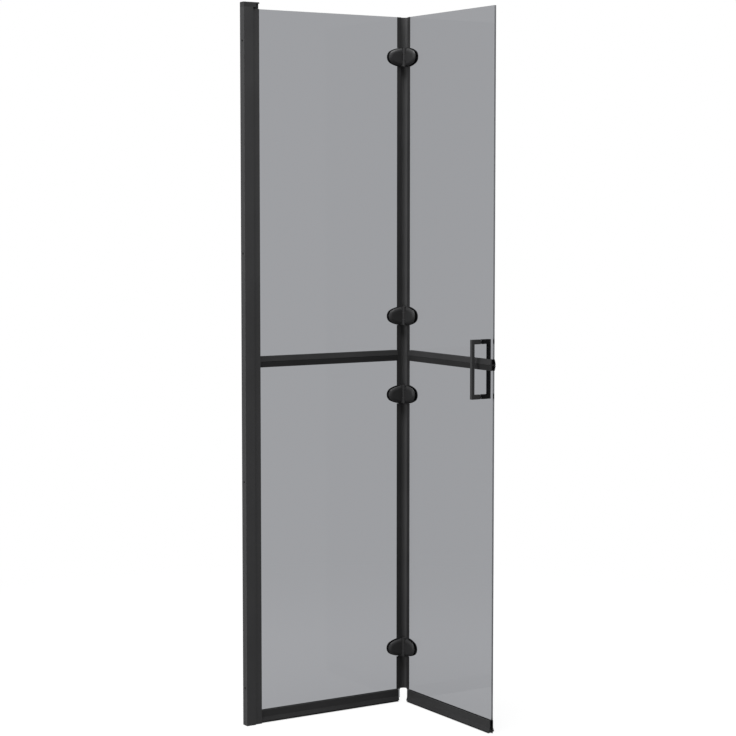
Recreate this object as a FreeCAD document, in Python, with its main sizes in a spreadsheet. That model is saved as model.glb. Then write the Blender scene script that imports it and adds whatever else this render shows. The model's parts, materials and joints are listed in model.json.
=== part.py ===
import FreeCAD, Part
import math
import os
import re

import Sketcher
from FreeCAD import Placement, Rotation, Vector

# Two-leaf folding walk-in shower wall, in millimetres.
# The wall face is x = 0, the fixed leaf runs along +x with its glass centred on y = 0,
# the viewer stands on the -y side and z = 0 is the shower tray.
SIZES = {
    # whole screen
    "screen_height": 1900,
    "top_drop": 17,
    "axis_reach": 496,
    "leaf_reach": 410,
    "axis_offset": 8,
    "rest_fold": 90,
    # glass
    "glass_thick": 5,
    "glass_edge": 9,
    "fit_gap": 0.2,
    # wall channel and its cap
    "channel_reach": 27,
    "channel_width": 22,
    "channel_wall": 1.6,
    "channel_web": 2,
    "channel_lip": 0.3,
    "wall_hole_radius": 3,
    "wall_hole_inset": 100,
    "cap_height": 13,
    "cap_reach": 45.5,
    "cap_plate": 4,
    "cap_skirt": 36,
    "cap_round": 1.5,
    "cap_plug": 3.4,
    "nose_half": 7,
    "nose_inset": 1,
    # adjusting profile that slides in the channel
    "slide_gap": 0.1,
    "profile_back": 7.5,
    "profile_front": 45.7,
    "profile_foot": 0.5,
    "profile_wall": 1.6,
    "profile_web": 2,
    "mouth_depth": 3.2,
    "glass_bite": 9.7,
    "slide_in": 4,
    "slide_out": 8,
    # screws that lock the profile
    "lock_reach": 20,
    "lock_radius": 2,
    "lock_head_radius": 4,
    "lock_head_height": 2.4,
    "cover_wall": 1,
    "lock_gap": 0.2,
    "lock_length": 9,
    "nut_width": 9,
    "nut_thick": 3,
    "lock_height": 180,
    # rubber round the glass edges
    "gasket_wall": 1.7,
    "gasket_base": 1.5,
    # cross bars
    "bar_centre": 965.3,
    "bar_height": 29.2,
    "bar_wall": 1.5,
    "bar_web": 2,
    "bar_crown": 3,
    "groove_width": 2,
    "groove_depth": 1,
    # bottom rails, their end caps and drip seals
    "rail_foot": 5,
    "rail_height": 30,
    "rail_web": 5,
    "rail_start": 15.7,
    "rail_flare": 3,
    "rail_bend": 11.5,
    "rail_lip": 1.5,
    "end_cap": 1.2,
    "end_inset": 3,
    "key_neck": 1.4,
    "key_half": 2.6,
    "key_lip": 1.2,
    "key_depth": 2,
    "drip_flare": 3,
    "drip_wall": 1.6,
    "drip_base": 2.4,
    "drip_lip": 2,
    "drip_tread": 0.5,
    # fold seal
    "clip_gap": 0.1,
    "clip_mouth": 20.2,
    "clip_back": 11.5,
    "web_thick": 1.2,
    "seal_gap": 0.5,
    # hinges
    "top_hinge_drop": 107.5,
    "upper_hinge_lift": 107.8,
    "lower_hinge_drop": 107.8,
    "bottom_hinge_lift": 147.9,
    "hinge_reach": 48.2,
    "hinge_rise": 25.7,
    "tip_round": 19,
    "plate_start": 7,
    "plate_thick": 5.1,
    "dome_depth": 4.9,
    "dome_round": 9.8,
    "back_start": 5,
    "back_thick": 5,
    "back_round": 3.5,
    "pad_thick": 1,
    "pad_inset": 1.5,
    "arm_thick": 4,
    "barrel_radius": 6,
    "barrel_rise": 24,
    "middle_rise": 9,
    "pin_radius": 3,
    "pin_head_radius": 4.6,
    "pin_head_height": 1.5,
    "bush_wall": 1,
    "bush_flange": 1,
    "bush_flange_radius": 5.4,
    "bush_length": 8.8,
    "turn_gap": 0.05,
    "press_gap": 0.02,
    "end_gap": 0.2,
    # bolts through the glass
    "hole_radius": 5,
    "bolt_reach": 31,
    "bolt_rise": 12,
    "bolt_radius": 2.5,
    "bolt_clear": 0.2,
    "bolt_head_radius": 4.4,
    "bolt_head_height": 2.4,
    "bolt_socket": 2,
    "bolt_grip": 3.2,
    # handle
    "handle_inset": 58,
    "handle_drop": 14.3,
    "handle_height": 155.5,
    "handle_bar": 8.5,
    "handle_width": 9,
    "handle_stand": 22.5,
    "leg_rise": 12,
    "handle_round": 1,
    "washer_radius": 6,
    "washer_thick": 1,
    "stud_grip": 9.5,
}

GLASS_TOP = "screen_height - top_drop"
HINGES = {
    "top": f"({GLASS_TOP} - top_hinge_drop)",
    "upper": "(bar_centre + upper_hinge_lift)",
    "lower": "(bar_centre - lower_hinge_drop)",
    "bottom": "(rail_foot + bottom_hinge_lift)",
}
LOCKS = ("lock_height", "screen_height / 2", "screen_height - lock_height")
WALL_HOLE_SPREADS = ("screen_height - 2 * wall_hole_inset", "(screen_height - wall_hole_inset) / 3")
HANDLE_CENTRE = "bar_centre - handle_drop"
HANDLE_REACH = "leaf_reach - handle_inset"
HALF_GLASS = "glass_thick / 2"
GASKET_FACE = "glass_thick / 2 + gasket_wall"
BAR_FACE = "glass_thick / 2 + gasket_wall + bar_wall"
RAIL_TOP = "rail_foot + rail_height"
PANE_FOOT = "rail_foot + rail_web + gasket_base"
LOWER_PANE_TOP = "bar_centre - bar_web / 2 - gasket_base"
UPPER_PANE_FOOT = "bar_centre + bar_web / 2 + gasket_base"
WALL_PANE_EDGE = "profile_front - glass_bite"
PLATE_SEAT = "glass_thick / 2 + pad_thick"
PLATE_FACE = "glass_thick / 2 + pad_thick + plate_thick"
BACK_FACE = "glass_thick / 2 + pad_thick + back_thick"
CLIP_WALL = "(pad_thick - clip_gap)"
CLIP_FOOT = f"glass_edge - {CLIP_WALL}"
LEG_SEAT = "glass_thick / 2 + washer_thick"

doc = FreeCAD.newDocument("shower_wall")
sheet = doc.addObject("Spreadsheet::Sheet", "Sizes")
for row, (size_name, size_value) in enumerate(SIZES.items(), start=1):
    sheet.set(f"A{row}", size_name)
    sheet.set(f"B{row}", str(size_value))
    sheet.setAlias(f"B{row}", size_name)
doc.recompute()

nodes = {}


def name_cell(word):
    return f"Sizes.{word}" if word in SIZES else word


def cells(formula):
    """The formula with each size name pointing at its cell in the sheet."""
    return re.sub(r"[a-z][a-z_]+", lambda word: name_cell(word.group()), formula)


def number(formula):
    return float(sheet.evalExpression(cells(formula)))


def minus(formula):
    return f"-({formula})"


def new_body(label):
    body = doc.addObject("PartDesign::Body", label)
    body.Label = label
    nodes[label] = body
    return body


class Outline:
    """A sketch on one of a body's own planes, with every point and radius bound to the sheet."""

    def __init__(self, body, role, level="0"):
        self.sketch = body.newObject("Sketcher::SketchObject", "Outline")
        plane = next(part for part in body.Origin.OriginFeatures if part.Role == role)
        self.sketch.AttachmentSupport = [(plane, "")]
        self.sketch.MapMode = "FlatFace"
        self.sketch.setExpression("AttachmentOffset.Base.z", cells(level))

    def bind(self, rules):
        plain = [rule for rule, formula in rules]
        for index, (rule, formula) in zip(self.sketch.addConstraint(plain), rules):
            if formula:
                self.sketch.setExpression(f"Constraints[{index}]", cells(formula))
        return self

    def across(self, piece, end, x):
        return (Sketcher.Constraint("DistanceX", -1, 1, piece, end, number(x)), x)

    def upward(self, piece, end, y):
        return (Sketcher.Constraint("DistanceY", -1, 1, piece, end, number(y)), y)

    def join(self, first, second, kind="Coincident"):
        return (Sketcher.Constraint(kind, first, 2, second, 1), None)

    def size(self, ring, radius):
        return (Sketcher.Constraint("Radius", ring, number(radius)), radius)

    def line(self, start, end):
        return self.sketch.addGeometry(Part.LineSegment(start, end))

    def arc(self, x, y, radius, start, end):
        """An arc about (x, y), counter-clockwise between two plain points at its ends."""
        middle = Vector(number(x), number(y), 0)
        turns = [math.atan2(point.y - middle.y, point.x - middle.x) for point in (start, end)]
        ring = Part.Circle(middle, Vector(0, 0, 1), number(radius))
        return self.sketch.addGeometry(Part.ArcOfCircle(ring, *turns))

    def polygon(self, points):
        corners = [Vector(number(x), number(y), 0) for x, y in points]
        lines = [self.line(a, b) for a, b in zip(corners, corners[1:] + corners[:1])]
        rules = []
        for line, following, (x, y) in zip(lines, lines[1:] + lines[:1], points):
            rules += [self.join(line, following), self.across(line, 1, x), self.upward(line, 1, y)]
        return self.bind(rules)

    def rectangle(self, x0, x1, y0, y1):
        return self.polygon([(x0, y0), (x1, y0), (x1, y1), (x0, y1)])

    def hexagon(self, x, y, radius):
        turns = [("1", "0"), ("0.5", "0.866"), ("-0.5", "0.866")]
        turns += [("-1", "0"), ("-0.5", "-0.866"), ("0.5", "-0.866")]
        return self.polygon([(f"{x} + {a} * {radius}", f"{y} + {b} * {radius}") for a, b in turns])

    def circle(self, x, y, radius):
        middle = Vector(number(x), number(y), 0)
        ring = self.sketch.addGeometry(Part.Circle(middle, Vector(0, 0, 1), number(radius)))
        return self.bind([self.across(ring, 3, x), self.upward(ring, 3, y), self.size(ring, radius)])

    def slot(self, x0, x1, y, radius):
        """A slot along x whose round ends are centred at x0 and x1."""
        low, high, level, half = number(x0), number(x1), number(y), number(radius)
        right = self.arc(x1, y, radius, Vector(high, level - half), Vector(high, level + half))
        left = self.arc(x0, y, radius, Vector(low, level + half), Vector(low, level - half))
        top = self.line(Vector(high, level + half), Vector(low, level + half))
        foot = self.line(Vector(low, level - half), Vector(high, level - half))
        rules = [self.across(right, 3, x1), self.upward(right, 3, y), self.size(right, radius)]
        rules += [self.across(left, 3, x0)]
        rules += [self.join(first, second, "Tangent") for first, second in ((right, top), (top, left))]
        rules += [self.join(first, second, "Tangent") for first, second in ((left, foot), (foot, right))]
        return self.bind(rules)

    def half_oval(self, seam, reach, rise, tip, middle="0"):
        """Half an oval of tangent arcs, cut straight at the seam, its long axis along +x."""
        flank = f"((({reach}) - ({tip}))^2 + ({rise})^2 - ({tip})^2) / (2 * (({rise}) - ({tip})))"
        cut, big, level = number(seam), number(flank), number(middle)
        drop = big - number(rise)
        slope = math.atan2(drop, number(reach) - number(tip))
        shoulder_x = big * math.cos(slope)
        shoulder_y = big * math.sin(slope) - drop
        side = math.sqrt(big**2 - cut**2) - drop
        top_right = Vector(shoulder_x, level + shoulder_y)
        low_right = Vector(shoulder_x, level - shoulder_y)
        top_left = Vector(cut, level + side)
        low_left = Vector(cut, level - side)
        top_y = f"{middle} + ({rise}) - {flank}"
        low_y = f"{middle} - ({rise}) + {flank}"
        top = self.arc("0", top_y, flank, top_right, top_left)
        low = self.arc("0", low_y, flank, low_left, low_right)
        nose = self.arc(f"({reach}) - ({tip})", middle, tip, low_right, top_right)
        line = self.line(top_left, low_left)
        rules = [self.across(top, 3, "0"), self.upward(top, 3, top_y), self.size(top, flank)]
        rules += [self.across(low, 3, "0"), self.upward(low, 3, low_y), self.size(low, flank)]
        rules += [self.size(nose, tip), self.join(nose, top, "Tangent"), self.join(low, nose, "Tangent")]
        rules += [self.join(top, line), self.join(line, low)]
        rules += [(Sketcher.Constraint("Vertical", line), None), self.across(line, 1, seam)]
        return self.bind(rules)

    def knuckle(self, root, face, back, radius, bore):
        """A round knuckle about the origin with an arm to the plate beside it."""
        reach, top, low, half = number(root), number(face), number(back), number(radius)
        start = Vector(math.sqrt(half**2 - low**2), low)
        end = Vector(math.sqrt(half**2 - top**2), top)
        barrel = self.arc("0", "0", radius, start, end)
        under = self.line(end, Vector(reach, top))
        side = self.line(Vector(reach, top), Vector(reach, low))
        over = self.line(Vector(reach, low), start)
        rules = [self.across(barrel, 3, "0"), self.upward(barrel, 3, "0"), self.size(barrel, radius)]
        rules += [self.upward(barrel, 1, back), self.upward(barrel, 2, face)]
        rules += [self.join(barrel, under), self.join(under, side)]
        rules += [self.join(side, over), self.join(over, barrel)]
        rules += [self.across(under, 2, root), self.upward(under, 2, face)]
        rules += [self.across(side, 2, root), self.upward(side, 2, back)]
        self.bind(rules)
        return self.circle("0", "0", bore)


def pad(body, outline, length):
    feature = body.newObject("PartDesign::Pad", "Pad")
    feature.Profile = outline.sketch
    feature.setExpression("Length", cells(length))
    outline.sketch.Visibility = False
    return body


def turn(body, outline):
    """The outline, drawn on the upright plane through the axis, turned right round it."""
    feature = body.newObject("PartDesign::Revolution", "Turned")
    feature.Profile = outline.sketch
    feature.ReferenceAxis = (outline.sketch, ["V_Axis"])
    feature.Angle = 360
    outline.sketch.Visibility = False
    return body


def pocket(body, outline, depth, forward=False):
    """A pocket below the outline, or the other way when it goes forward, that must cut something."""
    before = solid_volume(body)
    feature = body.newObject("PartDesign::Pocket", "Pocket")
    feature.Profile = outline.sketch
    feature.Reversed = forward
    feature.setExpression("Length", cells(depth))
    outline.sketch.Visibility = False
    if not solid_volume(body) < before:
        raise RuntimeError(f"a pocket cuts nothing in {body.Label}")
    return body


def solid_volume(body):
    body.recompute(True)
    return body.Shape.Volume


def fillet(body, radius, wanted, kind="Fillet"):
    """A fillet, or a chamfer, on the edges of the body so far that the test picks."""
    body.recompute(True)
    base = body.Tip
    picked = [f"Edge{index}" for index, edge in enumerate(base.Shape.Edges, 1) if wanted(edge.BoundBox)]
    if not picked:
        raise RuntimeError(f"no edges to round on {body.Label}")
    feature = body.newObject(f"PartDesign::{kind}", kind)
    feature.Base = (base, picked)
    feature.setExpression("Radius" if kind == "Fillet" else "Size", cells(radius))
    return body


def near(value, target):
    return abs(value - target) < 0.01


class Leaf:
    """One leaf: u runs from the hinge axis along the leaf, p from the glass centre to the viewer."""

    def __init__(self, name, along, across, level):
        self.name = name
        self.along = along
        self.across = across
        self.level = level
        self.folds = name == "folding"

    def body(self, piece):
        body = new_body(f"{self.name}_{piece}")
        return self.place(body)

    def place(self, body):
        if self.folds:
            body.setExpression("Placement.Rotation.Angle", cells("rest_fold - 180"))
            body.setExpression("Placement.Base.x", cells("axis_reach"))
            body.setExpression("Placement.Base.y", cells("-axis_offset"))
        return body

    def mirrored_body(self, label, height="0"):
        """A body drawn about the hinge axis, set on this leaf at a height."""
        body = new_body(label)
        if not self.folds:
            body.Placement = Placement(Vector(), Rotation(Vector(0, 1, 0), 180))
            body.setExpression("Placement.Base.x", cells("axis_reach"))
            body.setExpression("Placement.Base.y", cells("-axis_offset"))
        self.place(body)
        body.setExpression("Placement.Base.z", cells(height))
        return body

    def upright(self, height):
        """A height as a mirrored body at floor level sees it."""
        return height if self.folds else minus(height)

    def run(self, first, last):
        """Where a bar between two distances from the axis starts, and how long it is."""
        return self.along(first if self.folds else last), f"({last}) - ({first})"

    def section(self, points):
        return [(self.across(p), z) for p, z in points]

    def plan(self, points):
        return [(self.along(u), self.across(p)) for u, p in points]


fixed_leaf = Leaf("fixed", lambda u: f"axis_reach - ({u})", minus, lambda p: p)
folding_leaf = Leaf(
    "folding", lambda u: u, lambda p: f"axis_offset - ({p})", lambda p: f"({p}) - axis_offset"
)
LEAVES = (fixed_leaf, folding_leaf)


def both_sides(points):
    """The points of one side, then their mirror images back to the start."""
    return points + [(minus(p), z) for p, z in points[::-1]]


def make_wall_channel():
    body = new_body("wall_channel")
    half = "channel_width / 2"
    inner = "channel_width / 2 - channel_wall"
    lip = "channel_width / 2 - channel_wall - channel_lip"
    lip_back = "channel_reach - channel_wall"
    side = [(half, "0"), (half, "channel_reach"), (lip, "channel_reach"), (lip, lip_back)]
    side += [(inner, lip_back), (inner, "channel_web")]
    points = [(x, y) for y, x in both_sides(side)]
    pad(body, Outline(body, "XY_Plane").polygon(points), "screen_height - cap_height")
    wall_holes = Outline(body, "YZ_Plane")
    for spread in WALL_HOLE_SPREADS:
        for sign in "+-":
            wall_holes.circle("0", f"screen_height / 2 {sign} ({spread}) / 2", "wall_hole_radius")
    pocket(body, wall_holes, "channel_web", forward=True)
    lock_holes = Outline(body, "XZ_Plane", minus(half))
    for height in LOCKS:
        lock_holes.circle("lock_reach", height, "lock_radius + lock_gap")
    pocket(body, lock_holes, "channel_wall", forward=True)


def make_wall_channel_cap():
    """A cap with a skirt on the channel, a plug inside it and a nose over the end of the profile."""
    body = new_body("wall_channel_cap")
    half = "channel_width / 2"
    inner = "channel_width / 2 - channel_wall - channel_lip - fit_gap"
    plate_foot = "screen_height - cap_plate"
    skirt_foot = "screen_height - cap_height"
    plug_end = "channel_reach - channel_wall - fit_gap"
    plate = Outline(body, "XY_Plane", plate_foot).rectangle("0", "cap_reach", minus(half), half)
    pad(body, plate, "cap_plate")
    top = number("screen_height")
    fillet(body, "cap_round", lambda box: near(box.ZMin, top) and box.XMax > 0.01)
    skirt = Outline(body, "XY_Plane", skirt_foot).rectangle("0", "cap_skirt", minus(half), half)
    pad(body, skirt, "cap_height - cap_plate")
    plug = Outline(body, "XY_Plane", f"{skirt_foot} - cap_plug")
    plug.rectangle("channel_web + fit_gap", plug_end, minus(inner), inner)
    pad(body, plug, "cap_plug")
    nose = Outline(body, "XY_Plane", f"{skirt_foot} - cap_plug")
    nose.rectangle(f"{plug_end} - channel_wall", "cap_reach - nose_inset", "-nose_half", "nose_half")
    pad(body, nose, "cap_plug + cap_height - cap_plate")


def make_adjusting_profile():
    """H section: the rear legs slide in the wall channel, the front ones hold the glass."""
    body = new_body("adjusting_profile")
    face = "channel_width / 2 - channel_wall - channel_lip - slide_gap"
    wall = f"{face} - profile_wall"
    lip_back = "profile_front - mouth_depth"
    web_front = f"{WALL_PANE_EDGE} - gasket_base"
    web_back = f"{web_front} - profile_web"
    side = [(wall, web_back), (wall, "profile_back"), (face, "profile_back"), (face, "profile_front")]
    side += [(GASKET_FACE, "profile_front"), (GASKET_FACE, lip_back), (wall, lip_back), (wall, web_front)]
    points = [(x, y) for y, x in both_sides(side)]
    pad(body, Outline(body, "XY_Plane", "profile_foot").polygon(points), f"{GLASS_TOP} - profile_foot")
    slots = Outline(body, "XZ_Plane", minus(face))
    for height in LOCKS:
        slots.slot("lock_reach - slide_out", "lock_reach + slide_in", height, "lock_radius + lock_gap")
    pocket(body, slots, "profile_wall", forward=True)


def make_lock_screws():
    """Pan head screws on the hidden side, each with a square nut inside the profile and a cover."""
    seat = "channel_width / 2"
    nut_face = f"{seat} - channel_wall - channel_lip - 2 * slide_gap - profile_wall"
    lid = f"{seat} + lock_head_height + lock_gap + cover_wall"
    cover_radius = "lock_head_radius + lock_gap + cover_wall"
    screws = new_body("adjusting_screws")
    nuts = new_body("clamp_nuts")
    covers = new_body("screw_covers")
    heads = Outline(screws, "XZ_Plane", minus(f"{seat} + lock_head_height"))
    shanks = Outline(screws, "XZ_Plane", minus(seat))
    squares = Outline(nuts, "XZ_Plane", minus(nut_face))
    lids = Outline(covers, "XZ_Plane", minus(lid))
    hollows = Outline(covers, "XZ_Plane", minus(seat))
    left = "lock_reach - nut_width / 2"
    right = "lock_reach + nut_width / 2"
    for height in LOCKS:
        heads.circle("lock_reach", height, "lock_head_radius")
        shanks.circle("lock_reach", height, "lock_radius")
        squares.rectangle(left, right, f"{height} - nut_width / 2", f"{height} + nut_width / 2")
        squares.circle("lock_reach", height, "lock_radius + press_gap")
        lids.circle("lock_reach", height, cover_radius)
        hollows.circle("lock_reach", height, "lock_head_radius + lock_gap")
    pad(screws, heads, "lock_head_height")
    pad(screws, shanks, "lock_length")
    pad(nuts, squares, "nut_thick")
    pad(covers, lids, "lock_head_height + lock_gap + cover_wall")
    outer = number(lid)
    fillet(covers, "cover_wall", lambda box: near(box.YMin, outer) and near(box.YMax, outer), "Chamfer")
    pocket(covers, hollows, "lock_head_height + lock_gap")


def gasket_section(mouth, edge, base):
    """A U of rubber round a glass edge, as half widths and places along its legs."""
    side = [(HALF_GLASS, edge), (HALF_GLASS, mouth), (GASKET_FACE, mouth), (GASKET_FACE, f"{edge} {base}")]
    return both_sides(side)


def make_glazing_gaskets():
    """Rubber strips that hold the wall edges of both fixed panes in the adjusting profile."""
    body = new_body("glazing_gaskets")
    section = gasket_section("profile_front", WALL_PANE_EDGE, "- gasket_base")
    points = [(x, y) for y, x in section]
    for foot, top in ((PANE_FOOT, LOWER_PANE_TOP), (UPPER_PANE_FOOT, GLASS_TOP)):
        pad(body, Outline(body, "XY_Plane", foot).polygon(points), f"({top}) - ({foot})")


def handle_leg(sign):
    return f"{HANDLE_CENTRE} {sign} (handle_height - leg_rise) / 2"


def make_glass(leaf):
    far = "leaf_reach" if leaf.folds else f"axis_reach - ({WALL_PANE_EDGE})"
    panes = {
        "upper_glass": (UPPER_PANE_FOOT, GLASS_TOP, ("top", "upper"), "+"),
        "lower_glass": (PANE_FOOT, LOWER_PANE_TOP, ("lower", "bottom"), "-"),
    }
    for name, (foot, top, hinges, leg) in panes.items():
        body = leaf.body(name)
        pane = Outline(body, "XZ_Plane", leaf.level(minus(HALF_GLASS)))
        pane.rectangle(leaf.along("glass_edge"), leaf.along(far), foot, top)
        for hinge in hinges:
            for sign in "+-":
                pane.circle(leaf.along("bolt_reach"), f"{HINGES[hinge]} {sign} bolt_rise", "hole_radius")
        if leaf.folds:
            pane.circle(leaf.along(HANDLE_REACH), handle_leg(leg), "hole_radius")
        pad(body, pane, "glass_thick")


def bar_section(slot, web_foot, web_top):
    """An H with a low ridge and a centre groove on each face, round slots for the two panes."""
    top = "bar_centre + bar_height / 2"
    foot = "bar_centre - bar_height / 2"
    ridge = f"{BAR_FACE} + bar_crown"
    groove = f"{ridge} - groove_depth"
    groove_top = "bar_centre + groove_width / 2"
    groove_foot = "bar_centre - groove_width / 2"
    side = [(slot, web_top), (slot, top), (BAR_FACE, top), (ridge, groove_top), (groove, groove_top)]
    side += [(groove, groove_foot), (ridge, groove_foot), (BAR_FACE, foot), (slot, foot), (slot, web_foot)]
    return both_sides(side)


def make_cross_bar(leaf):
    far = "leaf_reach - end_inset - end_cap" if leaf.folds else "axis_reach - profile_front - fit_gap"
    start, length = leaf.run("clip_mouth + fit_gap", far)
    section = bar_section(GASKET_FACE, "bar_centre - bar_web / 2", "bar_centre + bar_web / 2")
    body = leaf.body("cross_bar")
    pad(body, Outline(body, "YZ_Plane", start).polygon(leaf.section(section)), length)
    strips = leaf.body("cross_bar_gaskets")
    upper = gasket_section("bar_centre + bar_height / 2", UPPER_PANE_FOOT, "- gasket_base")
    lower = gasket_section("bar_centre - bar_height / 2", LOWER_PANE_TOP, "+ gasket_base")
    for corners in (upper, lower):
        pad(strips, Outline(strips, "YZ_Plane", start).polygon(leaf.section(corners)), length)
    if leaf.folds:
        slot = f"{HALF_GLASS} + fit_gap"
        section = bar_section(slot, f"{LOWER_PANE_TOP} + fit_gap", f"{UPPER_PANE_FOOT} - fit_gap")
        cap = leaf.body("cross_bar_end_cap")
        pad(cap, Outline(cap, "YZ_Plane", leaf.along(far)).polygon(leaf.section(section)), "end_cap")


def rail_face():
    """The outside of a bottom rail from its top down: upright, then flared, then a short upright lip."""
    flare = f"{BAR_FACE} + rail_flare"
    bend = "rail_foot + rail_bend"
    return [(BAR_FACE, RAIL_TOP), (BAR_FACE, bend), (flare, "rail_foot + rail_lip"), (flare, "rail_foot")]


def make_bottom_rail(leaf):
    """A channel under the lower pane with a keyed drip seal below and a cap at each open end."""
    far = "leaf_reach - end_inset - end_cap" if leaf.folds else "axis_reach - profile_front - fit_gap"
    start, length = leaf.run("rail_start", far)
    floor = "rail_foot + rail_web"
    key_foot = "rail_foot + key_lip"
    key_top = "rail_foot + key_lip + key_depth"
    side = [(GASKET_FACE, floor), (GASKET_FACE, RAIL_TOP)] + rail_face()
    side += [("key_neck", "rail_foot"), ("key_neck", key_foot), ("key_half", key_foot), ("key_half", key_top)]
    body = leaf.body("bottom_rail")
    pad(body, Outline(body, "YZ_Plane", start).polygon(leaf.section(both_sides(side))), length)
    strip = leaf.body("bottom_gasket")
    section = gasket_section(RAIL_TOP, PANE_FOOT, "- gasket_base")
    pad(strip, Outline(strip, "YZ_Plane", start).polygon(leaf.section(section)), length)
    neck, half = "key_neck - press_gap", "key_half - press_gap"
    lip = f"{BAR_FACE} + drip_flare"
    under = "rail_foot - drip_base"
    key = [(neck, "rail_foot"), (neck, f"{key_foot} + press_gap"), (half, f"{key_foot} + press_gap")]
    key += [(half, f"{key_top} - press_gap")]
    drip = both_sides(key)
    drip += [(minus(BAR_FACE), "rail_foot"), (minus(BAR_FACE), "drip_tread")]
    drip += [(f"drip_wall - ({BAR_FACE})", "drip_tread"), (f"drip_wall - ({BAR_FACE})", under)]
    drip += [(f"{BAR_FACE} - drip_wall", under), (f"{lip} - drip_wall", "drip_lip")]
    drip += [(lip, "drip_lip"), (BAR_FACE, "rail_foot - drip_wall"), (BAR_FACE, "rail_foot")]
    seal = leaf.body("drip_seal")
    pad(seal, Outline(seal, "YZ_Plane", start).polygon(leaf.section(drip)), length)
    slot = f"{HALF_GLASS} + fit_gap"
    slotted = both_sides([(slot, f"{PANE_FOOT} - fit_gap"), (slot, RAIL_TOP)] + rail_face())
    caps = leaf.body("rail_end_caps" if leaf.folds else "rail_end_cap")
    near_start, near_length = leaf.run("rail_start - end_cap", "rail_start")
    pad(caps, Outline(caps, "YZ_Plane", near_start).polygon(leaf.section(slotted)), near_length)
    if leaf.folds:
        pad(caps, Outline(caps, "YZ_Plane", leaf.along(far)).polygon(leaf.section(slotted)), "end_cap")


def seal_runs():
    """The stretches of seal clip from the rail to the top of the glass, tucked under the hinge plates."""
    gap = "hinge_rise - pad_inset + seal_gap"
    levels = list(HINGES.values())[::-1]
    feet = [f"{RAIL_TOP} + seal_gap"] + [f"{level} + {gap}" for level in levels]
    tops = [f"{level} - ({gap})" for level in levels] + [GLASS_TOP]
    return list(zip(feet, tops))


def make_seal_clips(leaf):
    outer = f"{HALF_GLASS} + {CLIP_WALL}"
    front = [(HALF_GLASS, "glass_edge"), (HALF_GLASS, "clip_mouth")]
    front += [(outer, "clip_mouth"), (outer, CLIP_FOOT)]
    back = [(outer, CLIP_FOOT), (outer, "clip_back"), (HALF_GLASS, "clip_back"), (HALF_GLASS, "glass_edge")]
    section = front + [(minus(p), u) for p, u in back]
    points = leaf.plan([(u, p) for p, u in section])
    body = leaf.body("seal_clips")
    for foot, top in seal_runs():
        pad(body, Outline(body, "XY_Plane", foot).polygon(points), f"({top}) - ({foot})")


def make_fold_seal_web():
    """The soft web of the seal: an arc about the hinge axis from one clip to the other."""
    body = new_body("fold_seal_web")
    middle = f"sqrt(({CLIP_FOOT})^2 + axis_offset^2)"
    inner = f"({middle} - web_thick / 2)"
    outer = f"({middle} + web_thick / 2)"
    axis = ("axis_reach", "-axis_offset")

    def fixed_end(radius):
        return f"axis_reach - ({CLIP_FOOT})", f"sqrt({radius}^2 - ({CLIP_FOOT})^2) - axis_offset"

    def folding_end(radius):
        rise = f"sqrt({radius}^2 - ({CLIP_FOOT})^2)"
        x = f"axis_reach + cos(rest_fold - 90) * {rise} + sin(rest_fold - 90) * ({CLIP_FOOT})"
        y = f"sin(rest_fold - 90) * {rise} - cos(rest_fold - 90) * ({CLIP_FOOT}) - axis_offset"
        return x, y

    foot = f"{RAIL_TOP} + seal_gap"
    outline = Outline(body, "XY_Plane", foot)
    arcs = []
    rules = []
    for radius in (inner, outer):
        ends = [Vector(*[number(value) for value in end(radius)], 0) for end in (folding_end, fixed_end)]
        arc = outline.arc(*axis, radius, *ends)
        rules += [outline.across(arc, 3, axis[0]), outline.upward(arc, 3, axis[1])]
        rules += [outline.size(arc, radius), outline.upward(arc, 1, folding_end(radius)[1])]
        rules += [outline.across(arc, 2, fixed_end(radius)[0])]
        arcs.append((arc, ends))
    (near_arc, near_ends), (far_arc, far_ends) = arcs
    first = outline.line(near_ends[0], far_ends[0])
    last = outline.line(near_ends[1], far_ends[1])
    for line, end in ((first, 1), (last, 2)):
        rules.append((Sketcher.Constraint("Coincident", line, 1, near_arc, end), None))
        rules.append((Sketcher.Constraint("Coincident", line, 2, far_arc, end), None))
    outline.bind(rules)
    pad(body, outline, f"{GLASS_TOP} - ({foot})")


def make_hinge_front(leaf, hinge):
    """The domed half oval on the viewer's side, the top of a deeper rounded slab, with its knuckles."""
    body = leaf.mirrored_body(f"{hinge}_hinge_{leaf.name}_plate", HINGES[hinge])
    seat = f"{PLATE_SEAT} - axis_offset"
    face = f"axis_offset - ({PLATE_FACE})"
    low = f"{seat} - dome_depth"
    slab = Outline(body, "XZ_Plane", low).half_oval("plate_start", "hinge_reach", "hinge_rise", "tip_round")
    pad(body, slab, "plate_thick + dome_depth")
    front = number(face)
    cut = number("plate_start")
    fillet(body, "dome_round", lambda box: near(box.YMax, front) and box.XMax > cut + 0.01)
    under = Outline(body, "XZ_Plane", low)
    under.rectangle("0", "2 * hinge_reach", "-2 * hinge_rise", "2 * hinge_rise")
    pocket(body, under, "dome_depth", forward=True)
    outer_foot = "middle_rise + bush_flange + end_gap"
    bush_radius = "pin_radius + turn_gap + bush_wall"
    ranges = [("-middle_rise", "middle_rise")]
    bore = f"{bush_radius} + press_gap"
    if not leaf.folds:
        ranges = [(outer_foot, "barrel_rise"), ("-barrel_rise", minus(outer_foot))]
        bore = "pin_radius + press_gap"
    for foot, top in ranges:
        knuckle = Outline(body, "XY_Plane", foot)
        knuckle.knuckle("plate_start + 1", face, f"{face} + arm_thick", "barrel_radius", bore)
        pad(body, knuckle, f"({top}) - ({foot})")
    holes = Outline(body, "XZ_Plane", seat)
    for sign in ("", "-"):
        holes.circle("bolt_reach", f"{sign}bolt_rise", "bolt_radius + press_gap")
    pocket(body, holes, "bolt_grip + bolt_clear", forward=True)


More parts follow.
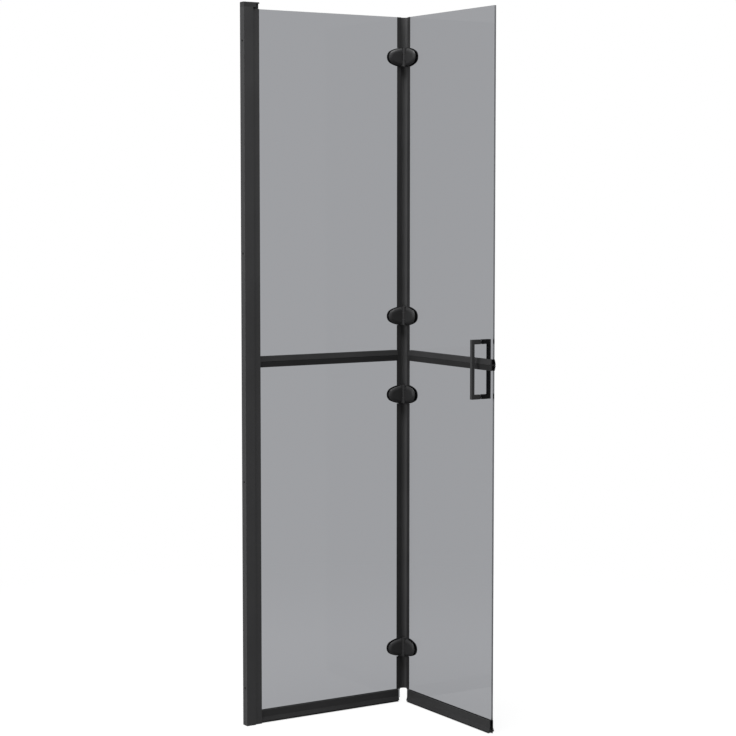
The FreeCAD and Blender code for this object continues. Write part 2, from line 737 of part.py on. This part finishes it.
def make_hinge_back(leaf, hinge):
    body = leaf.mirrored_body(f"{hinge}_hinge_{leaf.name}_backplate", HINGES[hinge])
    back = f"-({BACK_FACE}) - axis_offset"
    plate = Outline(body, "XZ_Plane", back).half_oval("back_start", "hinge_reach", "hinge_rise", "tip_round")
    for sign in ("", "-"):
        plate.circle("bolt_reach", f"{sign}bolt_rise", "bolt_radius + bolt_clear")
    pad(body, plate, "back_thick")
    outer = number(f"axis_offset + {BACK_FACE}")
    cut = number("back_start")
    hole = number("bolt_radius + bolt_clear")

    def on_rim(box):
        return near(box.YMin, outer) and box.XMax > cut + 0.01 and box.XLength > 2.1 * hole

    fillet(body, "back_round", on_rim)
    bores = Outline(body, "XZ_Plane", back)
    for sign in ("", "-"):
        bores.circle("bolt_reach", f"{sign}bolt_rise", "bolt_head_radius + bolt_clear")
    pocket(body, bores, "bolt_head_height + bolt_clear", forward=True)


def make_hinge_pin(hinge):
    body = folding_leaf.mirrored_body(f"{hinge}_hinge_pin", HINGES[hinge])
    end = "barrel_rise + pin_head_height"
    side = [("0", end), ("pin_head_radius", end)]
    side += [("pin_head_radius", "barrel_rise"), ("pin_radius", "barrel_rise")]
    points = side + [(r, minus(z)) for r, z in side[::-1]]
    turn(body, Outline(body, "XZ_Plane").polygon(points))


def make_hinge_bushes():
    """Flanged nylon bushes pressed into the folding knuckles from above and below."""
    body = folding_leaf.mirrored_body("hinge_bushes")
    bore = "pin_radius + turn_gap"
    wall = f"{bore} + bush_wall"
    outline = Outline(body, "XZ_Plane")
    for level in HINGES.values():
        for sign in "+-":
            flange = f"{level} {sign} middle_rise"
            end = f"{level} {sign} (middle_rise + bush_flange)"
            inside = f"{level} {sign} (middle_rise - bush_length)"
            points = [(bore, inside), (wall, inside), (wall, flange), ("bush_flange_radius", flange)]
            outline.polygon(points + [("bush_flange_radius", end), (bore, end)])
    turn(body, outline)


def make_hinge_fixings(leaf):
    """Rubber pads on both faces of the glass, sleeves in its holes, and the bolts."""
    pads = leaf.mirrored_body(f"{leaf.name}_hinge_pads")
    sleeves = leaf.mirrored_body(f"{leaf.name}_hinge_sleeves")
    bolts = leaf.mirrored_body(f"{leaf.name}_hinge_bolts")
    head_seat = f"bolt_clear + bolt_head_height - ({BACK_FACE})"
    tubes = Outline(sleeves, "XZ_Plane", f"-({HALF_GLASS}) - axis_offset")
    heads = Outline(bolts, "XZ_Plane", f"bolt_clear - ({BACK_FACE}) - axis_offset")
    shanks = Outline(bolts, "XZ_Plane", f"{head_seat} - axis_offset")
    for height in HINGES.values():
        middle = leaf.upright(height)
        for face in (HALF_GLASS, minus(PLATE_SEAT)):
            flat = Outline(pads, "XZ_Plane", f"{face} - axis_offset")
            rise = "hinge_rise - pad_inset"
            flat.half_oval("glass_edge", "hinge_reach - pad_inset", rise, "tip_round - pad_inset", middle)
            for sign in "+-":
                flat.circle("bolt_reach", f"{middle} {sign} bolt_rise", "bolt_radius + bolt_clear")
            pad(pads, flat, "pad_thick")
        for sign in "+-":
            level = f"{middle} {sign} bolt_rise"
            tubes.circle("bolt_reach", level, "hole_radius - press_gap")
            tubes.circle("bolt_reach", level, "bolt_radius + bolt_clear")
            heads.circle("bolt_reach", level, "bolt_head_radius")
            heads.hexagon("bolt_reach", level, "bolt_socket")
            shanks.circle("bolt_reach", level, "bolt_radius")
    pad(sleeves, tubes, "glass_thick")
    pad(bolts, heads, "bolt_head_height")
    pad(bolts, shanks, f"{PLATE_SEAT} + bolt_grip - ({head_seat})")


def make_handle():
    """Two square C pulls, one on each face of the glass, joined by studs through both panes."""
    leaf = folding_leaf
    top = f"{HANDLE_CENTRE} + handle_height / 2"
    foot = f"{HANDLE_CENTRE} - handle_height / 2"
    grip = "handle_stand + handle_bar"
    side = [(grip, foot), (grip, top), (LEG_SEAT, top), (LEG_SEAT, f"{top} - leg_rise")]
    side += [("handle_stand", f"{top} - leg_rise"), ("handle_stand", f"{foot} + leg_rise")]
    side += [(LEG_SEAT, f"{foot} + leg_rise"), (LEG_SEAT, foot)]
    start = f"{HANDLE_REACH} - handle_width / 2"
    for name, facing in (("handle_front", 1), ("handle_rear", -1)):
        points = side if facing > 0 else [(minus(p), z) for p, z in side]
        body = leaf.place(new_body(name))
        pad(body, Outline(body, "YZ_Plane", start).polygon(leaf.section(points)), "handle_width")
        outer = number(leaf.across(grip if facing > 0 else minus(grip)))
        fillet(body, "handle_round", lambda box: near(box.YMin, outer) and near(box.YMax, outer))
        seat = LEG_SEAT if facing > 0 else minus(LEG_SEAT)
        holes = Outline(body, "XZ_Plane", leaf.level(seat))
        for sign in "+-":
            holes.circle(HANDLE_REACH, handle_leg(sign), "bolt_radius + press_gap")
        pocket(body, holes, "stud_grip + bolt_clear", forward=facing > 0)
    studs = leaf.place(new_body("handle_studs"))
    sleeves = leaf.place(new_body("handle_sleeves"))
    washers = leaf.place(new_body("handle_washers"))
    rods = Outline(studs, "XZ_Plane", leaf.level(f"-({LEG_SEAT}) - stud_grip"))
    tubes = Outline(sleeves, "XZ_Plane", leaf.level(minus(HALF_GLASS)))
    for sign in "+-":
        rods.circle(HANDLE_REACH, handle_leg(sign), "bolt_radius")
        tubes.circle(HANDLE_REACH, handle_leg(sign), "hole_radius - press_gap")
        tubes.circle(HANDLE_REACH, handle_leg(sign), "bolt_radius + bolt_clear")
    pad(studs, rods, f"2 * ({LEG_SEAT} + stud_grip)")
    pad(sleeves, tubes, "glass_thick")
    for level in (HALF_GLASS, minus(LEG_SEAT)):
        rings = Outline(washers, "XZ_Plane", leaf.level(level))
        for sign in "+-":
            rings.circle(HANDLE_REACH, handle_leg(sign), "washer_radius")
            rings.circle(HANDLE_REACH, handle_leg(sign), "bolt_radius + bolt_clear")
        pad(washers, rings, "washer_thick")


make_wall_channel()
make_wall_channel_cap()
make_lock_screws()
make_adjusting_profile()
make_glazing_gaskets()
make_fold_seal_web()
for leaf in LEAVES:
    make_glass(leaf)
    make_cross_bar(leaf)
    make_bottom_rail(leaf)
    make_seal_clips(leaf)
    for hinge in HINGES:
        make_hinge_front(leaf, hinge)
        make_hinge_back(leaf, hinge)
    make_hinge_fixings(leaf)
for hinge in HINGES:
    make_hinge_pin(hinge)
make_hinge_bushes()
make_handle()
doc.recompute()

for item in doc.Objects:
    if "Invalid" in item.State or "Error" in item.State:
        raise RuntimeError(f"{item.Label} did not build: {item.State}")

os.makedirs("parts", exist_ok=True)
for label, body in nodes.items():
    if body.Shape.isNull() or not body.Shape.isValid():
        raise RuntimeError(f"{label} has no sound shape")
    body.Shape.exportStep(f"parts/{label}.step")
    print(label, len(body.Shape.Solids), round(body.Shape.Volume))
print(len(nodes), "nodes")
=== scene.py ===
import json
import math

import bpy
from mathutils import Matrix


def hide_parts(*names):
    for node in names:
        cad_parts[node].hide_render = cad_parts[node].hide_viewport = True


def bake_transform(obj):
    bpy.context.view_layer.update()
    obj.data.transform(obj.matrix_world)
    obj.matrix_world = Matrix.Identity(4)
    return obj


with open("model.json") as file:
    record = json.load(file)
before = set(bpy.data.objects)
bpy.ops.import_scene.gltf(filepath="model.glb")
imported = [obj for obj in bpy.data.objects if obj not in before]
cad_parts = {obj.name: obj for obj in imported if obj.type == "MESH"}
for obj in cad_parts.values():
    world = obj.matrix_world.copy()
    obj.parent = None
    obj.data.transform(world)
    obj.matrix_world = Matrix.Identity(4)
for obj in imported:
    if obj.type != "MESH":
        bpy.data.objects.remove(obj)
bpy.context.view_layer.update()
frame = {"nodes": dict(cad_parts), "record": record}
nodes = frame["nodes"]
print("stage: solids loaded,", len(nodes), "nodes")


# node helpers

def newGroup(name, inputs, outputs):
    group = bpy.data.node_groups.new(name, "ShaderNodeTree")
    for socketName, kind, value in inputs:
        socket = group.interface.new_socket(socketName, in_out="INPUT", socket_type=kind)
        socket.default_value = value
    for socketName, kind in outputs:
        group.interface.new_socket(socketName, in_out="OUTPUT", socket_type=kind)
    return group, group.nodes.new("NodeGroupInput"), group.nodes.new("NodeGroupOutput")


def addNode(tree, kind, **settings):
    node = tree.nodes.new(kind)
    for key, value in settings.items():
        setattr(node, key, value)
    return node


def addNoise(tree, coordinates, scale, detail, roughness):
    noise = addNode(tree, "ShaderNodeTexNoise")
    noise.inputs["Detail"].default_value = detail
    noise.inputs["Roughness"].default_value = roughness
    if isinstance(scale, (int, float)):
        noise.inputs["Scale"].default_value = scale
    else:
        tree.links.new(scale, noise.inputs["Scale"])
    tree.links.new(coordinates, noise.inputs["Vector"])
    return noise.outputs["Fac"]


def addRange(tree, value, fromLow, fromHigh, toLow, toHigh):
    node = addNode(tree, "ShaderNodeMapRange", clamp=True)
    ends = {"From Min": fromLow, "From Max": fromHigh, "To Min": toLow, "To Max": toHigh}
    for key, number in ends.items():
        node.inputs[key].default_value = number
    tree.links.new(value, node.inputs["Value"])
    return node.outputs["Result"]


def addMath(tree, operation, *values):
    node = addNode(tree, "ShaderNodeMath", operation=operation)
    for socket, value in zip(node.inputs, values):
        tree.links.new(value, socket)
    return node.outputs["Value"]


def addGroup(tree, group, coordinates, values):
    node = addNode(tree, "ShaderNodeGroup", node_tree=group)
    tree.links.new(coordinates, node.inputs["Coordinates"])
    for key, value in values.items():
        node.inputs[key].default_value = value
    return node


def addBump(tree, height, strength, distance):
    bump = addNode(tree, "ShaderNodeBump")
    bump.inputs["Strength"].default_value = strength
    bump.inputs["Distance"].default_value = distance
    tree.links.new(height, bump.inputs["Height"])
    return bump.outputs["Normal"]


def mixColours(tree, factor, first, second):
    mix = addNode(tree, "ShaderNodeMix", data_type="RGBA")
    tree.links.new(factor, mix.inputs["Factor"])
    for socket, colour in ((mix.inputs[6], first), (mix.inputs[7], second)):   # its two colour sockets
        if isinstance(colour, tuple):
            socket.default_value = (*colour, 1.0)
        else:
            tree.links.new(colour, socket)
    return mix.outputs[2]   # its colour


# effects that the finishes share

wornEdgeShape = {
    "samples": 6,
    "turned": (0.999, 0.90),         # cosine of the rounded normal to the face, from flat to sharp
    "noiseDetail": 3.0,
    "noiseRoughness": 0.55,
    "noiseSpread": (0.35, 0.65),
    "leastWear": 0.35,
}


def makeWornEdgeGroup(look):
    # 0 on flat faces, up to 1 along sharp outer edges, broken up by a noise
    group, entry, result = newGroup(
        "wornEdges",
        [
            ("Coordinates", "NodeSocketVector", (0, 0, 0)),
            ("Radius", "NodeSocketFloat", 0.001),
            ("Breakup", "NodeSocketFloat", 60.0),
        ],
        [("Mask", "NodeSocketFloat")],
    )
    rounded = addNode(group, "ShaderNodeBevel", samples=look["samples"])
    group.links.new(entry.outputs["Radius"], rounded.inputs["Radius"])
    flat = addNode(group, "ShaderNodeNewGeometry")
    turned = addNode(group, "ShaderNodeVectorMath", operation="DOT_PRODUCT")
    group.links.new(rounded.outputs["Normal"], turned.inputs[0])
    group.links.new(flat.outputs["Normal"], turned.inputs[1])
    edge = addRange(group, turned.outputs["Value"], *look["turned"], 0.0, 1.0)
    noise = addNoise(
        group, entry.outputs["Coordinates"], entry.outputs["Breakup"], look["noiseDetail"],
        look["noiseRoughness"])
    broken = addRange(group, noise, *look["noiseSpread"], look["leastWear"], 1.0)
    group.links.new(addMath(group, "MULTIPLY", edge, broken), result.inputs["Mask"])
    return group


fineGrainShape = {
    "grainDetail": 4.0,
    "grainRoughness": 0.6,
    "patchDetail": 3.0,
    "patchRoughness": 0.5,
    "patchSpread": (0.3, 0.7),
}


def makeGrainGroup(look):
    # fine height for a Bump node, and a slow patchiness for colour and roughness
    group, entry, result = newGroup(
        "fineGrain",
        [
            ("Coordinates", "NodeSocketVector", (0, 0, 0)),
            ("Grain Scale", "NodeSocketFloat", 900.0),
            ("Patch Scale", "NodeSocketFloat", 5.0),
        ],
        [("Height", "NodeSocketFloat"), ("Patches", "NodeSocketFloat")],
    )
    place = entry.outputs["Coordinates"]
    grain = addNoise(group, place, entry.outputs["Grain Scale"], look["grainDetail"], look["grainRoughness"])
    patch = addNoise(group, place, entry.outputs["Patch Scale"], look["patchDetail"], look["patchRoughness"])
    group.links.new(grain, result.inputs["Height"])
    group.links.new(addRange(group, patch, *look["patchSpread"], 0.0, 1.0), result.inputs["Patches"])
    return group


wornEdges = makeWornEdgeGroup(wornEdgeShape)
fineGrain = makeGrainGroup(fineGrainShape)


# coated, moulded and metal finishes

powderCoatLook = {
    "dark": (0.0345, 0.0345, 0.0353),
    "light": (0.0405, 0.0405, 0.0413),
    "edge": (0.058, 0.058, 0.059),
    "edgeRadius": 0.0008,
    "edgeBreakup": 70.0,
    "grainScale": 1400.0,
    "patchScale": 7.0,
    "roughness": (0.42, 0.5),
    "bumpStrength": 0.25,
    "bumpDistance": 0.0003,
    "specular": 0.06,
    "metallic": 0.0,
}
barCoatLook = dict(
    powderCoatLook,
    dark=(0.021, 0.021, 0.0215),
    light=(0.026, 0.026, 0.0266),
    edge=(0.04, 0.04, 0.041),
)
hingeCoatLook = dict(barCoatLook, roughness=(0.38, 0.46), specular=0.08)
sealLook = {
    "dark": (0.021, 0.021, 0.0215),
    "light": (0.026, 0.026, 0.0266),
    "edge": (0.034, 0.034, 0.035),
    "edgeRadius": 0.0004,
    "edgeBreakup": 40.0,
    "grainScale": 600.0,
    "patchScale": 11.0,
    "roughness": (0.5, 0.62),
    "bumpStrength": 0.15,
    "bumpDistance": 0.0003,
    "specular": 0.06,
    "metallic": 0.0,
}
# painted light: the fold seal web gets a lighter copy of the seal rubber, so that it looks lit where the
# clips shade it
webPaintedLightLook = dict(
    sealLook,
    dark=(0.045, 0.045, 0.0458),
    light=(0.053, 0.053, 0.054),
    edge=(0.06, 0.06, 0.061),
)
capPlasticLook = {
    "dark": (0.025, 0.025, 0.0257),
    "light": (0.031, 0.031, 0.0318),
    "edge": (0.045, 0.045, 0.046),
    "edgeRadius": 0.0006,
    "edgeBreakup": 90.0,
    "grainScale": 1000.0,
    "patchScale": 20.0,
    "roughness": (0.4, 0.52),
    "bumpStrength": 0.3,
    "bumpDistance": 0.0003,
    "specular": 0.06,
    "metallic": 0.0,
}
nylonLook = dict(
    capPlasticLook,
    dark=(0.04, 0.04, 0.04),
    light=(0.048, 0.048, 0.048),
    roughness=(0.5, 0.6),
)
steelLook = {
    "dark": (0.42, 0.42, 0.43),
    "light": (0.56, 0.56, 0.57),
    "edge": (0.7, 0.7, 0.7),
    "edgeRadius": 0.0003,
    "edgeBreakup": 120.0,
    "grainScale": 1800.0,
    "patchScale": 60.0,
    "roughness": (0.26, 0.38),
    "bumpStrength": 0.1,
    "bumpDistance": 0.0002,
    "specular": 0.5,
    "metallic": 1.0,
}


def newMaterial(name):
    material = bpy.data.materials.new(name)
    material.use_nodes = True
    tree = material.node_tree
    tree.nodes.clear()
    return material, tree, addNode(tree, "ShaderNodeOutputMaterial")


def addSurface(tree, output):
    shader = addNode(tree, "ShaderNodeBsdfPrincipled")
    tree.links.new(shader.outputs["BSDF"], output.inputs["Surface"])
    return shader


def makeCoatedFinish(name, look):
    material, tree, output = newMaterial(name)
    shader = addSurface(tree, output)
    place = addNode(tree, "ShaderNodeTexCoord").outputs["Object"]
    grain = addGroup(
        tree, fineGrain, place, {"Grain Scale": look["grainScale"], "Patch Scale": look["patchScale"]})
    worn = addGroup(tree, wornEdges, place, {"Radius": look["edgeRadius"], "Breakup": look["edgeBreakup"]})
    base = mixColours(tree, grain.outputs["Patches"], look["dark"], look["light"])
    colour = mixColours(tree, worn.outputs["Mask"], base, look["edge"])
    tree.links.new(colour, shader.inputs["Base Color"])
    rough = addRange(tree, grain.outputs["Patches"], 0.0, 1.0, *look["roughness"])
    tree.links.new(rough, shader.inputs["Roughness"])
    normal = addBump(tree, grain.outputs["Height"], look["bumpStrength"], look["bumpDistance"])
    tree.links.new(normal, shader.inputs["Normal"])
    shader.inputs["Specular IOR Level"].default_value = look["specular"]
    shader.inputs["Metallic"].default_value = look["metallic"]
    return material


# tinted glass of the two leaves

tintedGlassLook = {
    "tint": (0.346, 0.352, 0.368),       # on top of the tint in the depth of the pane
    "absorption": 5.0,
    "ior": 1.147,                        # the panes in the photo hardly mirror anything
    "roughness": (0.0, 0.012),
    "smudgeScale": 3.0,
    "smudgeDetail": 5.0,
    "smudgeRoughness": 0.6,
    "smudgeSpread": (0.5, 0.75),
    "rimPaintedShade": (0.12, 0.122, 0.1276),    # the ground edges of a pane are satin; their darker colour is painted shade
    "rimRoughness": 0.4,
    "rimTurn": (0.5, 0.9),               # cosine to the normal of the pane, from its edges to its faces
    "waveScale": 2.2,
    "waveDetail": 1.0,
    "waveRoughness": 0.4,
    "waveStrength": 0.3,
    "waveDistance": 0.00004,
}


def makeTintedGlass(name, look, paneNormal):
    material, tree, output = newMaterial(name)
    shader = addSurface(tree, output)
    shader.inputs["Transmission Weight"].default_value = 1.0
    shader.inputs["IOR"].default_value = look["ior"]
    coordinates = addNode(tree, "ShaderNodeTexCoord")
    place = coordinates.outputs["Object"]
    facing = addNode(tree, "ShaderNodeVectorMath", operation="DOT_PRODUCT")
    facing.inputs[1].default_value = paneNormal
    tree.links.new(coordinates.outputs["Normal"], facing.inputs[0])
    eitherFace = addMath(tree, "ABSOLUTE", facing.outputs["Value"])
    rim = addRange(tree, eitherFace, *look["rimTurn"], 1.0, 0.0)   # 0 on both faces, 1 on the edges
    # painted shade: the edges of each pane take the darker rim colour
    colour = mixColours(tree, rim, look["tint"], look["rimPaintedShade"])
    tree.links.new(colour, shader.inputs["Base Color"])
    smudge = addNoise(tree, place, look["smudgeScale"], look["smudgeDetail"], look["smudgeRoughness"])
    smudged = addRange(tree, smudge, *look["smudgeSpread"], *look["roughness"])
    ground = addRange(tree, rim, 0.0, 1.0, 0.0, look["rimRoughness"])
    tree.links.new(addMath(tree, "MAXIMUM", smudged, ground), shader.inputs["Roughness"])
    wave = addNoise(tree, place, look["waveScale"], look["waveDetail"], look["waveRoughness"])
    normal = addBump(tree, wave, look["waveStrength"], look["waveDistance"])
    tree.links.new(normal, shader.inputs["Normal"])
    depth = addNode(tree, "ShaderNodeVolumeAbsorption")
    depth.inputs["Color"].default_value = (0.0, 0.0, 0.0, 1.0)
    depth.inputs["Density"].default_value = look["absorption"]
    tree.links.new(depth.outputs["Volume"], output.inputs["Volume"])
    return material


slotFinish = {
    "black_metal": makeCoatedFinish("powderCoat", powderCoatLook),
    "black_rubber": makeCoatedFinish("sealRubber", sealLook),
    "black_plastic": makeCoatedFinish("capPlastic", capPlasticLook),
    "black_nylon": makeCoatedFinish("sleeveNylon", nylonLook),
    "stainless_steel": makeCoatedFinish("plainSteel", steelLook),
    "grey_glass": makeTintedGlass("fixedLeafGlass", tintedGlassLook, (0.0, 1.0, 0.0)),
}
barFinish = makeCoatedFinish("barCoat", barCoatLook)
hingeFinish = makeCoatedFinish("hingeCoat", hingeCoatLook)
webPaintedLightFinish = makeCoatedFinish("webRubberPaintedLight", webPaintedLightLook)
foldingGlass = makeTintedGlass("foldingLeafGlass", tintedGlassLook, (1.0, 0.0, 0.0))

slotOfNode = {item["node"]: item["material_slot"] for item in frame["record"]["subparts"]}
for nodeName, solid in nodes.items():
    finish = slotFinish[slotOfNode[nodeName]]
    if nodeName.endswith(("cross_bar", "bottom_rail")):
        finish = barFinish
    elif nodeName.endswith(("_plate", "_backplate", "_pin")):
        finish = hingeFinish
    elif nodeName.startswith("folding") and nodeName.endswith("glass"):
        finish = foldingGlass
    solid.data.materials.clear()
    solid.data.materials.append(finish)
print("stage: finishes set")


# fold seal web: one soft half-round strip at the fold between the two leaves

foldSealWeb = {
    "axis": (0.496, -0.008),
    "glassOffset": 0.008,     # from the axis to the middle of either pane
    "thickness": 0.0012,
    "clipReach": 0.0081,      # where the strip meets the foot of each clip
    "run": (0.0355, 1.883),
    "midHeight": 0.95,
    "turnSteps": 72,
    "smoothAngle": 40.0,
}


def deselectAll():
    if bpy.context.object and bpy.context.object.mode != "OBJECT":
        bpy.ops.object.mode_set(mode="OBJECT")
    bpy.ops.object.select_all(action="DESELECT")


def selectFaces(mesh, wanted):
    bpy.ops.object.mode_set(mode="OBJECT")
    for face in mesh.polygons:
        face.select = wanted(face)
    bpy.ops.object.mode_set(mode="EDIT")


def applyAll(piece):
    bpy.context.view_layer.objects.active = piece
    for modifier in list(piece.modifiers):
        bpy.ops.object.modifier_apply(modifier=modifier.name)


def makeFoldSealWeb(look):
    deselectAll()
    x, y = look["axis"]
    reach = look["clipReach"]
    low, high = look["run"]
    radius = math.hypot(reach, look["glassOffset"])
    bpy.ops.mesh.primitive_cylinder_add(
        vertices=look["turnSteps"], radius=radius, depth=high - low, end_fill_type="NOTHING",
        location=(x, y, (low + high) / 2))
    web = bpy.context.object
    web.name = "foldSealWeb"
    bpy.ops.object.transform_apply(location=True, rotation=True, scale=True)
    bpy.ops.object.mode_set(mode="EDIT")
    bpy.ops.mesh.select_mode(type="FACE")
    bpy.ops.mesh.select_all(action="SELECT")     # cut at the foot of each clip
    bpy.ops.mesh.bisect(plane_co=(x - reach, 0, 0), plane_no=(1, 0, 0))
    bpy.ops.mesh.select_all(action="SELECT")
    bpy.ops.mesh.bisect(plane_co=(0, y - reach, 0), plane_no=(0, 1, 0))

    def nearSide(face):
        dx, dy = face.center.x - x, face.center.y - y
        return dx < -reach or dy < -reach or dx + dy < 0

    selectFaces(web.data, nearSide)              # the side away from the viewer stays
    bpy.ops.mesh.delete(type="FACE")
    bpy.ops.object.mode_set(mode="OBJECT")
    wall = web.modifiers.new("wall", "SOLIDIFY")
    wall.thickness = look["thickness"]
    wall.offset = 0.0
    wall.use_even_offset = True
    applyAll(web)
    bpy.ops.object.shade_smooth_by_angle(angle=math.radians(look["smoothAngle"]))
    web.data.materials.clear()
    # the lighter rubber with painted light
    web.data.materials.append(webPaintedLightFinish)
    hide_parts("fold_seal_web")
    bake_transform(web)


makeFoldSealWeb(foldSealWeb)
print("stage: fold seal made")


# floor and sky

studio = {
    "floorSize": 60.0,
    "floorPlace": (0.3, 0.0, -0.0005),
    "floorColour": (0.75, 0.75, 0.75),
    "bounceColour": (0.3, 0.3, 0.3),   # of the light that the floor sends back to the object
    "skyStrength": 0.25,
    "shownWhite": 1.0,
    "shadowShare": 0.12,               # how much of the lit floor shows near the object
    "shadowReach": (0.9, 2.2),         # it fades out between these distances, beyond is plain white
    "lightBounces": 8,                 # so that light through two tinted panes is not cut short
}


def addShownRays(tree):
    # 1 for the rays that show the background: straight, mirrored or through glass
    path = addNode(tree, "ShaderNodeLightPath")
    mirrored = addMath(tree, "MAXIMUM", path.outputs["Is Camera Ray"], path.outputs["Is Glossy Ray"])
    return addMath(tree, "MAXIMUM", mirrored, path.outputs["Is Transmission Ray"])


def makeFloor(look):
    deselectAll()
    bpy.ops.mesh.primitive_plane_add(size=look["floorSize"], location=look["floorPlace"])
    floor = bpy.context.object
    floor.name = "paleFloor"
    material, tree, output = newMaterial("paleFloor")
    shownRays = addShownRays(tree)
    diffuse = addNode(tree, "ShaderNodeBsdfDiffuse")
    colour = mixColours(tree, shownRays, look["bounceColour"], look["floorColour"])
    tree.links.new(colour, diffuse.inputs["Color"])
    glow = addNode(tree, "ShaderNodeEmission")
    glow.inputs["Strength"].default_value = look["shownWhite"]
    distance = addNode(tree, "ShaderNodeVectorMath", operation="LENGTH")
    tree.links.new(addNode(tree, "ShaderNodeTexCoord").outputs["Object"], distance.inputs[0])
    white = addRange(tree, distance.outputs["Value"], *look["shadowReach"], 1.0 - look["shadowShare"], 1.0)
    mix = addNode(tree, "ShaderNodeMixShader")
    tree.links.new(addMath(tree, "MULTIPLY", shownRays, white), mix.inputs["Fac"])
    tree.links.new(diffuse.outputs["BSDF"], mix.inputs[1])
    tree.links.new(glow.outputs["Emission"], mix.inputs[2])
    tree.links.new(mix.outputs["Shader"], output.inputs["Surface"])
    floor.data.materials.append(material)


def addBackground(tree, strength):
    background = addNode(tree, "ShaderNodeBackground")
    background.inputs["Color"].default_value = (1.0, 1.0, 1.0, 1.0)
    background.inputs["Strength"].default_value = strength
    return background.outputs["Background"]


def makeSky(look):
    world = bpy.data.worlds.new("studioSky")
    bpy.context.scene.world = world
    world.use_nodes = True
    tree = world.node_tree
    tree.nodes.clear()
    mix = addNode(tree, "ShaderNodeMixShader")
    tree.links.new(addShownRays(tree), mix.inputs["Fac"])
    tree.links.new(addBackground(tree, look["skyStrength"]), mix.inputs[1])
    tree.links.new(addBackground(tree, look["shownWhite"]), mix.inputs[2])
    output = addNode(tree, "ShaderNodeOutputWorld")
    tree.links.new(mix.outputs["Shader"], output.inputs["Surface"])


# lamps and camera

lamps = {
    "overhead": {"place": (-0.3, -0.6, 5.6), "aim": (0.35, -0.2, 0.9), "size": 3.0, "power": 620.0},
    "leftKey": {"place": (-4.2, -0.7, 1.8), "aim": (0.3, -0.2, 1.0), "size": 2.2, "power": 120.0},
}


def makeLamps(look):
    for name, lamp in look.items():
        deselectAll()
        bpy.ops.object.light_add(type="AREA", location=lamp["place"])
        light = bpy.context.object
        light.name = name
        light.data.size = lamp["size"]
        light.data.energy = lamp["power"]
        dx, dy, dz = [a - b for a, b in zip(lamp["aim"], lamp["place"])]
        turn = math.atan2(dy, dx) - math.pi / 2
        tilt = math.atan2(math.hypot(dx, dy), -dz)
        light.rotation_euler = (tilt, 0, turn)


photoCamera = {
    "place": (-2.5024, -4.6013, 1.3907),
    "azimuth": -32.103,
    "pitch": 4.322,       # degrees down from level
    "lens": 98.064,
    "sensor": 36.0,
    "shift": -0.023,
    "farClip": 200.0,
}


def makeCamera(look):
    deselectAll()
    tilt = math.radians(90 - look["pitch"])
    turn = math.radians(look["azimuth"])
    bpy.ops.object.camera_add(location=look["place"], rotation=(tilt, 0, turn))
    camera = bpy.context.object
    camera.name = "photoCamera"
    camera.data.lens = look["lens"]
    camera.data.sensor_width = look["sensor"]
    camera.data.shift_y = look["shift"]
    camera.data.clip_end = look["farClip"]
    bpy.context.scene.camera = camera


makeFloor(studio)
makeSky(studio)
makeLamps(lamps)
makeCamera(photoCamera)
bpy.context.scene.view_settings.view_transform = "Standard"
bpy.context.scene.cycles.min_light_bounces = studio["lightBounces"]
print("stage: floor, light and camera set")
